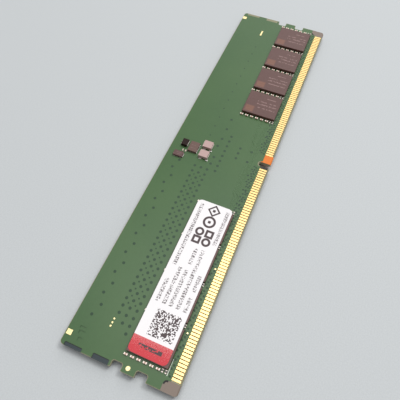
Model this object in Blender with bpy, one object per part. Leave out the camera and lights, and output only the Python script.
"""A desktop memory module, lying on the memory chips of its back face.

The board's length runs along X, its width along Y and its thickness along Z. The label end is at -X, the
contact edge at -Y, and the front face looks up. The origin is under the middle of the board, on the surface
that the module lies on.

Places along the length are given from the label end, and places across the width from the contact edge.
"""

import math

import bmesh
import bpy
from mathutils import Vector

MM = 0.001

# The board: a laminate core between two sheets of solder mask.
BOARD_LENGTH = 133.35 * MM
BOARD_WIDTH = 31.25 * MM
CORE_THICKNESS = 1.19 * MM
MASK_THICKNESS = 0.03 * MM
CORNER_RADIUS = 1.0 * MM
ARC_STEP = math.radians(9.0)

# The gap that keeps a bonded skin off what it lies on, and the lift of a soldered part above its pads.
SKIN_GAP = 0.01 * MM
SOLDER_GAP = 0.03 * MM

# The notches in both short edges, which the socket's latches hold: (height of the centre, width).
LATCH_NOTCHES = ((16.0 * MM, 2.75 * MM), (9.5 * MM, 3.0 * MM))
LATCH_NOTCH_DEPTH = 1.75 * MM
LATCH_NOTCH_RADIUS = 0.6 * MM
NOTCH_MOUTH_RADIUS = 0.15 * MM

# The contacts: two runs on each face, with a break of several pitches between them for the key slot. The
# slot lies off the middle, so that the module fits only one way round.
CONTACT_PITCH = 0.85 * MM
CONTACT_WIDTH = 0.60 * MM
CONTACT_THICKNESS = 0.035 * MM
CONTACT_END_MARGIN = 3.35 * MM
CONTACTS_OFF_MIDDLE = 3
KEY_PITCHES = 7
CONTACT_TIP = 0.45 * MM
CONTACT_ROOT = 2.70 * MM
TIE_BAR_WIDTH = 0.25 * MM
TIE_BAR_COVER = 0.15 * MM
EDGE_BEVEL = 0.30 * MM
KEY_SLOT_WIDTH = 1.5 * MM
KEY_SLOT_DEPTH = 3.6 * MM
CONTACT_TO_KEY_SLOT = 0.90 * MM

# The solder mask stops short of the outline, and leaves the laminate bare in windows at the short edges. The
# two edge windows are (start, end, depth), as shares of the plain edge between the top edge and the notches.
MASK_SETBACK = 0.12 * MM
KEY_CLEARANCE = 0.30 * MM
EDGE_WINDOWS = ((0.087, 0.432, 0.95 * MM), (0.64, 0.955, 1.25 * MM))
EDGE_WINDOW_RADIUS = 0.25 * MM
CORNER_WINDOW_LENGTH = 2.60 * MM
CORNER_WINDOW_HEIGHT = 4.25 * MM
CORNER_WINDOW_RADIUS = 0.90 * MM

# The memory chips stand on solder balls, with a row of small parts before and after each one.
CHIP_LENGTH = 9.6 * MM
CHIP_WIDTH = 11.0 * MM
CHIP_THICKNESS = 0.85 * MM
CHIP_EDGE_BEVEL = 0.05 * MM
BALL_HEIGHT = 0.30 * MM
CHIP_FOOT = 4.30 * MM
CHIPS_IN_BANK = 4
ROW_TO_CHIP = 0.75 * MM
NEAR_BANK_MARGIN = 3.92 * MM
FAR_BANK_MARGIN = 3.15 * MM
NEAR_CHIP_GAP = 1.65 * MM
FAR_CHIP_GAP = 1.85 * MM

# A row of small parts: capacitors along the chip's edge, then a pair of resistors set crosswise.
CAPACITOR_LENGTH = 1.0 * MM
CAPACITOR_WIDTH = 0.5 * MM
CAPACITOR_HEIGHT = 0.5 * MM
CAPACITOR_COUNT = 6
CAPACITOR_OVERHANG = 0.25 * MM
RESISTOR_LENGTH = 0.9 * MM
RESISTOR_WIDTH = 0.5 * MM
RESISTOR_HEIGHT = 0.35 * MM
RESISTOR_OFFSET = 0.15 * MM
RESISTOR_COUNT = 2
RESISTOR_GAP = 0.35 * MM
CAPACITOR_TO_RESISTOR = 0.40 * MM
LAND_WIDTH = 0.7 * MM
LAND_THICKNESS = 0.06 * MM
LAND_MARGIN = 0.05 * MM

# The power and management parts: the centre, as (distance past the middle of the space between the banks,
# distance below the top edge), and the size along X, Y and Z.
CONTROLLER_AT = (-0.80 * MM, 7.20 * MM)
CONTROLLER_SIZE = (3.70 * MM, 2.90 * MM, 0.75 * MM)
HUB_AT = (-4.80 * MM, 3.70 * MM)
HUB_SIZE = (1.90 * MM, 3.10 * MM, 0.65 * MM)
SMALL_INDUCTOR_AT = (-0.25 * MM, 4.05 * MM)
SMALL_INDUCTOR_SIZE = (2.30 * MM, 1.90 * MM, 1.00 * MM)
SUPPLY_INDUCTORS_AT = ((1.45 * MM, 11.05 * MM), (-2.25 * MM, 11.15 * MM))
SUPPLY_INDUCTOR_SIZE = (2.50 * MM, 2.80 * MM, 1.10 * MM)
PACKAGE_EDGE_BEVEL = 0.04 * MM
TERMINAL_THICKNESS = 0.18 * MM
TERMINAL_SHARE_OF_HEIGHT = 0.55
TERMINAL_INSET = 0.15 * MM
TERMINAL_GAP = 0.02 * MM

# The label lies across the chips of the first bank, and reaches past the last of them.
LABEL_INSET = 0.50 * MM
LABEL_INSET_AT_TOP = 0.10 * MM
LABEL_INSET_AT_END = 0.15 * MM
LABEL_OVERHANG = 1.20 * MM
LABEL_THICKNESS = 0.10 * MM
LABEL_RADIUS = 1.3 * MM

# Heights of the layers above the surface that the module lies on.
BOARD_BACK = CHIP_THICKNESS + BALL_HEIGHT
CORE_BACK = BOARD_BACK + MASK_THICKNESS + SKIN_GAP
CORE_FRONT = CORE_BACK + CORE_THICKNESS
BOARD_FRONT = CORE_FRONT + SKIN_GAP + MASK_THICKNESS
CHIP_TOP = BOARD_FRONT + BALL_HEIGHT + CHIP_THICKNESS
REBATE_DEPTH = CONTACT_THICKNESS + SKIN_GAP

# The contacts and the key slot: as many contacts as the length has room for.
CONTACT_PITCHES = round((BOARD_LENGTH - 2 * CONTACT_END_MARGIN) / CONTACT_PITCH - 0.4)
CONTACTS_ON_A_FACE = CONTACT_PITCHES - KEY_PITCHES + 2
LONG_RUN_COUNT = CONTACTS_ON_A_FACE // 2 + CONTACTS_OFF_MIDDLE
SHORT_RUN_COUNT = CONTACTS_ON_A_FACE - LONG_RUN_COUNT
LONG_RUN_END = CONTACT_END_MARGIN + (LONG_RUN_COUNT - 1) * CONTACT_PITCH
SHORT_RUN_START = LONG_RUN_END + KEY_PITCHES * CONTACT_PITCH
KEY_SLOT_CENTRE = LONG_RUN_END + (CONTACT_WIDTH + KEY_SLOT_WIDTH) / 2 + CONTACT_TO_KEY_SLOT
REBATE_TOP = CONTACT_ROOT + TIE_BAR_COVER + TIE_BAR_WIDTH + TIE_BAR_COVER

# Each bank of chips, as the place of its first row of small parts and the pitch of its chips.
NEAR_BANK = (NEAR_BANK_MARGIN, CHIP_LENGTH + NEAR_CHIP_GAP)
FAR_BANK_PITCH = CHIP_LENGTH + FAR_CHIP_GAP
FAR_BANK = (BOARD_LENGTH - FAR_BANK_MARGIN - CHIPS_IN_BANK * FAR_BANK_PITCH, FAR_BANK_PITCH)
NEAR_BANK_END = NEAR_BANK[0] + CHIPS_IN_BANK * NEAR_BANK[1]
MIDDLE_OF_SPACE = (NEAR_BANK_END + FAR_BANK[0]) / 2

MATERIALS = {
    "laminate": ((0.30, 0.20, 0.09), 0.55, 0.0),
    "solder_mask": ((0.06, 0.17, 0.08), 0.35, 0.0),
    "gold_contact": ((0.95, 0.72, 0.35), 0.25, 1.0),
    "chip_package": ((0.05, 0.035, 0.035), 0.55, 0.0),
    "small_parts": ((0.55, 0.46, 0.40), 0.40, 0.3),
    "inductor_body": ((0.45, 0.38, 0.36), 0.50, 0.0),
    "dark_inductor": ((0.06, 0.045, 0.045), 0.50, 0.0),
    "tinned_terminal": ((0.75, 0.75, 0.72), 0.30, 1.0),
    "label_film": ((0.85, 0.85, 0.84), 0.35, 0.0),
}


def clear_scene():
    for old in list(bpy.data.objects):
        bpy.data.objects.remove(old, do_unlink=True)


def plain_material(name):
    colour, roughness, metallic = MATERIALS[name]
    material = bpy.data.materials.get(name) or bpy.data.materials.new(name)
    material.use_nodes = True
    shader = material.node_tree.nodes["Principled BSDF"]
    shader.inputs["Base Color"].default_value = (*colour, 1.0)
    shader.inputs["Roughness"].default_value = roughness
    shader.inputs["Metallic"].default_value = metallic
    return material


def place(name, mesh, material, parent, location=(0.0, 0.0, 0.0), face_down=False):
    """One named piece. A face-down piece is turned over about its own Y axis."""
    if not mesh.materials:
        mesh.materials.append(plain_material(material))
    piece = bpy.data.objects.new(name, mesh)
    bpy.context.collection.objects.link(piece)
    piece.parent = parent
    piece.location = location
    piece.rotation_euler = (0.0, math.pi if face_down else 0.0, 0.0)
    return piece


def on_board(from_end, height, z):
    """The world place of a point given from the label end and from the contact edge."""
    return Vector((from_end - BOARD_LENGTH / 2, height - BOARD_WIDTH / 2, z))


def filleted(corners):
    """Plan points of an outline given by corners (from_end, height, radius), each rounded by an arc."""
    points = []
    for index, (x, y, radius) in enumerate(corners):
        here = Vector((x, y))
        before = (Vector(corners[index - 1][:2]) - here).normalized()
        after = (Vector(corners[(index + 1) % len(corners)][:2]) - here).normalized()
        if radius == 0.0:
            points.append(here)
            continue
        half_angle = before.angle(after) / 2
        centre = here + (before + after).normalized() * (radius / math.sin(half_angle))
        start = here + before * (radius / math.tan(half_angle)) - centre
        finish = here + after * (radius / math.tan(half_angle)) - centre
        turn = start.angle(finish)
        steps = max(1, round(turn / ARC_STEP))
        for step in range(steps + 1):
            share = step / steps
            arm = start * math.sin((1 - share) * turn) + finish * math.sin(share * turn)
            points.append(centre + arm / math.sin(turn))
    return points


def extruded(name, plan, bottom, top):
    """A closed prism on a plan outline given from the label end and the contact edge."""
    turned = sum(here.cross(plan[index - 1]) for index, here in enumerate(map(Vector, plan)))
    around = list(plan) if turned < 0.0 else list(reversed(plan))
    shape = bmesh.new()
    floor = [shape.verts.new(on_board(point[0], point[1], bottom)) for point in around]
    roof = [shape.verts.new(on_board(point[0], point[1], top)) for point in around]
    shape.faces.new(list(reversed(floor)))
    shape.faces.new(roof)
    for index in range(len(around)):
        shape.faces.new((floor[index - 1], floor[index], roof[index], roof[index - 1]))
    mesh = bpy.data.meshes.new(name)
    shape.to_mesh(mesh)
    shape.free()
    return mesh


def boxes(name, solids):
    """A mesh of upright boxes, each given as (x, y, bottom, length, width, height)."""
    shape = bmesh.new()
    for x, y, bottom, length, width, height in solids:
        made = bmesh.ops.create_cube(shape, size=1.0)["verts"]
        bmesh.ops.scale(shape, verts=made, vec=(length, width, height))
        bmesh.ops.translate(shape, verts=made, vec=(x, y, bottom + height / 2))
    mesh = bpy.data.meshes.new(name)
    shape.to_mesh(mesh)
    shape.free()
    return mesh


def package_mesh(name, size, chamfer):
    """A moulded package standing on z = 0, with a small chamfer on every edge."""
    mesh = boxes(name, [(0.0, 0.0, 0.0, *size)])
    shape = bmesh.new()
    shape.from_mesh(mesh)
    bmesh.ops.bevel(shape, geom=shape.edges[:], offset=chamfer, segments=1, affect="EDGES")
    shape.to_mesh(mesh)
    shape.free()
    return mesh


def combined(name, first, second, operation):
    """The exact Boolean result of two meshes, as a new mesh."""
    tool = bpy.data.objects.new(name + "_tool", second)
    base = bpy.data.objects.new(name + "_base", first)
    for item in (tool, base):
        bpy.context.collection.objects.link(item)
    cut = base.modifiers.new("cut", "BOOLEAN")
    cut.operation = operation
    cut.solver = "EXACT"
    cut.object = tool
    graph = bpy.context.evaluated_depsgraph_get()
    result = bpy.data.meshes.new_from_object(base.evaluated_get(graph))
    result.name = name
    for item in (tool, base):
        bpy.data.objects.remove(item, do_unlink=True)
    return result


def latch_notch_corners(height, width, setback):
    """Corners of one latch notch, from its top side to its bottom side."""
    half = width / 2 + setback
    depth = LATCH_NOTCH_DEPTH + setback
    return [
        (setback, height + half, NOTCH_MOUTH_RADIUS),
        (depth, height + half, LATCH_NOTCH_RADIUS),
        (depth, height - half, LATCH_NOTCH_RADIUS),
        (setback, height - half, NOTCH_MOUTH_RADIUS),
    ]


def key_slot_corners(edge, clearance):
    """Corners of the key slot's round-ended cut, going away from the label end."""
    half = KEY_SLOT_WIDTH / 2 + clearance
    depth = KEY_SLOT_DEPTH + clearance
    end_radius = 0.98 * half
    return [
        (KEY_SLOT_CENTRE - half, edge, 0.0),
        (KEY_SLOT_CENTRE - half, depth, end_radius),
        (KEY_SLOT_CENTRE + half, depth, end_radius),
        (KEY_SLOT_CENTRE + half, edge, 0.0),
    ]


def mirrored(corners):
    """The same corners at the other short edge, in the order that keeps the outline going round one way."""
    return [(BOARD_LENGTH - x, y, radius) for x, y, radius in reversed(corners)]


def board_outline():
    short_edge = [(0.0, BOARD_WIDTH, CORNER_RADIUS)]
    for height, width in LATCH_NOTCHES:
        short_edge += latch_notch_corners(height, width, 0.0)
    short_edge.append((0.0, 0.0, CORNER_RADIUS))
    return filleted(short_edge + key_slot_corners(0.0, 0.0) + mirrored(short_edge))


def mask_outline():
    short_edge = [(MASK_SETBACK, BOARD_WIDTH - MASK_SETBACK, CORNER_RADIUS - MASK_SETBACK)]
    notch_height, notch_width = LATCH_NOTCHES[0]
    plain_edge = BOARD_WIDTH - notch_height - notch_width / 2
    for start, end, depth in EDGE_WINDOWS:
        window_top = BOARD_WIDTH - start * plain_edge
        window_foot = BOARD_WIDTH - end * plain_edge
        short_edge += [
            (MASK_SETBACK, window_top, 0.0),
            (depth, window_top, EDGE_WINDOW_RADIUS),
            (depth, window_foot, EDGE_WINDOW_RADIUS),
            (MASK_SETBACK, window_foot, 0.0),
        ]
    for height, width in LATCH_NOTCHES:
        short_edge += latch_notch_corners(height, width, MASK_SETBACK)
    short_edge += [
        (MASK_SETBACK, CORNER_WINDOW_HEIGHT, 0.0),
        (CORNER_WINDOW_LENGTH, CORNER_WINDOW_HEIGHT, CORNER_WINDOW_RADIUS),
        (CORNER_WINDOW_LENGTH, CONTACT_ROOT, 0.0),
    ]
    return filleted(short_edge + key_slot_corners(CONTACT_ROOT, KEY_CLEARANCE) + mirrored(short_edge))


def add_rebate(shape, surface, outward):
    """A bar that lowers one face of the core along the contact edge and bevels the edge itself."""
    floor = surface - outward * REBATE_DEPTH
    clear = outward * BOARD_WIDTH
    profile = (
        (REBATE_TOP, surface + clear),
        (REBATE_TOP, floor),
        (EDGE_BEVEL, floor),
        (-EDGE_BEVEL, floor - outward * 2 * EDGE_BEVEL),
        (-EDGE_BEVEL, surface + clear),
    )
    ends = [
        [shape.verts.new(on_board(x, height, z)) for height, z in profile]
        for x in (-BOARD_WIDTH, BOARD_LENGTH + BOARD_WIDTH)
    ]
    for end in ends:
        shape.faces.new(end)
    for index in range(len(profile)):
        after = (index + 1) % len(profile)
        shape.faces.new((ends[0][index], ends[0][after], ends[1][after], ends[1][index]))


def board_core(parent):
    blank = extruded("board_blank", board_outline(), CORE_BACK, CORE_FRONT)
    shape = bmesh.new()
    add_rebate(shape, CORE_FRONT, 1.0)
    add_rebate(shape, CORE_BACK, -1.0)
    bmesh.ops.recalc_face_normals(shape, faces=shape.faces)
    rebates = bpy.data.meshes.new("contact_rebates")
    shape.to_mesh(rebates)
    shape.free()
    place("board_core", combined("board_core", blank, rebates, "DIFFERENCE"), "laminate", parent)


def solder_masks(parent):
    outline = mask_outline()
    front = extruded("solder_mask_front", outline, CORE_FRONT + SKIN_GAP, BOARD_FRONT)
    back = extruded("solder_mask_back", outline, BOARD_BACK, CORE_BACK - SKIN_GAP)
    place("solder_mask_front", front, "solder_mask", parent)
    place("solder_mask_back", back, "solder_mask", parent)


def contact_run_outline(first, count):
    """Contacts hanging from the bar of copper under the mask that ties them, going round once."""
    bar_bottom = CONTACT_ROOT + TIE_BAR_COVER
    left = first - CONTACT_WIDTH / 2
    right = first + (count - 1) * CONTACT_PITCH + CONTACT_WIDTH / 2
    points = [(right, bar_bottom + TIE_BAR_WIDTH), (left, bar_bottom + TIE_BAR_WIDTH)]
    for index in range(count):
        start = left + index * CONTACT_PITCH
        finish = start + CONTACT_WIDTH
        points += [(start, bar_bottom), (start, CONTACT_TIP), (finish, CONTACT_TIP), (finish, bar_bottom)]
    ends_on_bar = (points[2], points[-1])
    return [point for point in points if point not in ends_on_bar]


def contact_runs(parent):
    runs = (("long", CONTACT_END_MARGIN, LONG_RUN_COUNT), ("short", SHORT_RUN_START, SHORT_RUN_COUNT))
    for run, first, count in runs:
        outline = contact_run_outline(first, count)
        name = f"contacts_front_{run}"
        front = extruded(name, outline, CORE_FRONT - CONTACT_THICKNESS, CORE_FRONT)
        place(name, front, "gold_contact", parent)
        name = f"contacts_back_{run}"
        back = extruded(name, outline, CORE_BACK, CORE_BACK + CONTACT_THICKNESS)
        place(name, back, "gold_contact", parent)


def small_parts_row_mesh():
    """One row's capacitors and resistors, joined by the solder land under them. The row runs along Y."""
    sunk = LAND_THICKNESS / 2
    first_capacitor = CHIP_WIDTH / 2 + CAPACITOR_OVERHANG - CAPACITOR_LENGTH / 2
    resistor_pitch = RESISTOR_WIDTH + RESISTOR_GAP
    last_resistor = (RESISTOR_WIDTH - CHIP_WIDTH) / 2
    first_resistor = last_resistor + (RESISTOR_COUNT - 1) * resistor_pitch
    last_capacitor = first_resistor + (RESISTOR_WIDTH + CAPACITOR_LENGTH) / 2 + CAPACITOR_TO_RESISTOR
    capacitor_pitch = (first_capacitor - last_capacitor) / (CAPACITOR_COUNT - 1)
    parts = []
    for index in range(CAPACITOR_COUNT):
        y = first_capacitor - index * capacitor_pitch
        parts.append((0.0, y, sunk, CAPACITOR_WIDTH, CAPACITOR_LENGTH, CAPACITOR_HEIGHT - sunk))
    for index in range(RESISTOR_COUNT):
        y = first_resistor - index * resistor_pitch
        parts.append((RESISTOR_OFFSET, y, sunk, RESISTOR_LENGTH, RESISTOR_WIDTH, RESISTOR_HEIGHT - sunk))
    top = first_capacitor + CAPACITOR_LENGTH / 2 + LAND_MARGIN
    foot = last_resistor - RESISTOR_WIDTH / 2 - LAND_MARGIN
    land = boxes("row_land", [(0.0, (top + foot) / 2, 0.0, LAND_WIDTH, top - foot, LAND_THICKNESS)])
    return combined("small_parts_row", land, boxes("row_parts", parts), "UNION")


def memory_banks(parent):
    chip = package_mesh("memory_chip", (CHIP_LENGTH, CHIP_WIDTH, CHIP_THICKNESS), CHIP_EDGE_BEVEL)
    row = small_parts_row_mesh()
    height = CHIP_FOOT + CHIP_WIDTH / 2
    for bank, (first_row, pitch) in enumerate((NEAR_BANK, FAR_BANK)):
        for index in range(CHIPS_IN_BANK):
            number = bank * CHIPS_IN_BANK + index + 1
            x = first_row + index * pitch + ROW_TO_CHIP + CHIP_LENGTH / 2
            front_at = on_board(x, height, BOARD_FRONT + BALL_HEIGHT)
            back_at = on_board(x, height, BOARD_BACK - BALL_HEIGHT)
            place(f"memory_chip_front_{number}", chip, "chip_package", parent, front_at)
            place(f"memory_chip_back_{number}", chip, "chip_package", parent, back_at, face_down=True)
        for index in range(CHIPS_IN_BANK + 1):
            number = bank * (CHIPS_IN_BANK + 1) + index + 1
            x = first_row + index * pitch
            front_at = on_board(x, height, BOARD_FRONT + SOLDER_GAP)
            back_at = on_board(x, height, BOARD_BACK - SOLDER_GAP)
            place(f"small_parts_front_{number}", row, "small_parts", parent, front_at)
            place(f"small_parts_back_{number}", row, "small_parts", parent, back_at, face_down=True)


def beside_power_middle(at):
    """The world place, on the front face, of a point given as the power parts' places are."""
    return on_board(MIDDLE_OF_SPACE + at[0], BOARD_WIDTH - at[1], BOARD_FRONT + SOLDER_GAP)


def package(name, at, size, material, parent):
    mesh = package_mesh(name, size, PACKAGE_EDGE_BEVEL)
    place(name, mesh, material, parent, beside_power_middle(at))


def inductor(name, at, size, material, parent):
    """A moulded inductor with a metal terminal on each of its ends along Y."""
    package(name, at, size, material, parent)
    plate = (size[0] - 2 * TERMINAL_INSET, TERMINAL_THICKNESS, size[2] * TERMINAL_SHARE_OF_HEIGHT)
    reach = size[1] / 2 + TERMINAL_GAP + TERMINAL_THICKNESS / 2
    for end, side in (("top", -1.0), ("bottom", 1.0)):
        package(f"{name}_{end}_terminal", (at[0], at[1] + side * reach), plate, "tinned_terminal", parent)


def power_parts(parent):
    package("power_controller", CONTROLLER_AT, CONTROLLER_SIZE, "chip_package", parent)
    package("presence_detect_hub", HUB_AT, HUB_SIZE, "chip_package", parent)
    inductor("small_inductor", SMALL_INDUCTOR_AT, SMALL_INDUCTOR_SIZE, "dark_inductor", parent)
    for number, at in enumerate(SUPPLY_INDUCTORS_AT, start=1):
        inductor(f"supply_inductor_{number}", at, SUPPLY_INDUCTOR_SIZE, "inductor_body", parent)


def label(parent):
    start = NEAR_BANK[0] + ROW_TO_CHIP + LABEL_INSET_AT_END
    end = NEAR_BANK_END - NEAR_CHIP_GAP + ROW_TO_CHIP + LABEL_OVERHANG
    foot = CHIP_FOOT + LABEL_INSET
    top = CHIP_FOOT + CHIP_WIDTH - LABEL_INSET_AT_TOP
    corners = [(x, y, LABEL_RADIUS) for x, y in ((start, top), (start, foot), (end, foot), (end, top))]
    underside = CHIP_TOP + SKIN_GAP
    mesh = extruded("label", filleted(corners), underside, underside + LABEL_THICKNESS)
    place("label", mesh, "label_film", parent)


def memory_module():
    clear_scene()
    module = bpy.data.objects.new("memory_module", None)
    bpy.context.collection.objects.link(module)
    board_core(module)
    solder_masks(module)
    contact_runs(module)
    memory_banks(module)
    power_parts(module)
    label(module)


memory_module()
